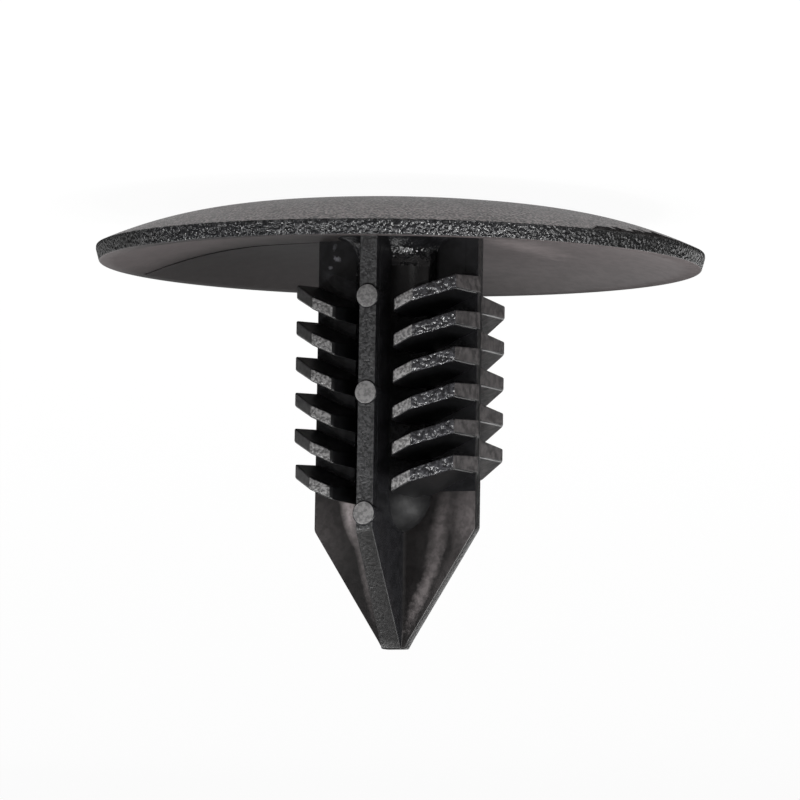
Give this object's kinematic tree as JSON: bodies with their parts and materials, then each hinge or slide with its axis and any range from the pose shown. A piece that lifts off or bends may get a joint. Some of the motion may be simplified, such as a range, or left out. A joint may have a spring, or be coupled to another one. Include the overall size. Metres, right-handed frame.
{
  "type": "push-in trim clip",
  "caption": "Black plastic push-in trim clip: shallow domed round head on a pointed cross-shaped stem with columns of slanted barbs.",
  "frame": {"origin": "crown of the domed head, on the stem's axis, where the clip stands on its head", "axes": "+Z along the stem from the head to the tip; X along the spine web that carries the barbs; -Y towards the cross web's edge with the ejector marks"},
  "size_m": [0.03, 0.03, 0.022],
  "materials": {
    "black_nylon": "moulded black nylon, spark-eroded grain on the dome, coarse on the rim and barb edges, smoother satin on the underside and webs"
  },
  "bodies": {
    "root": {"trim_clip": "black_nylon"}
  },
  "joints": []
}
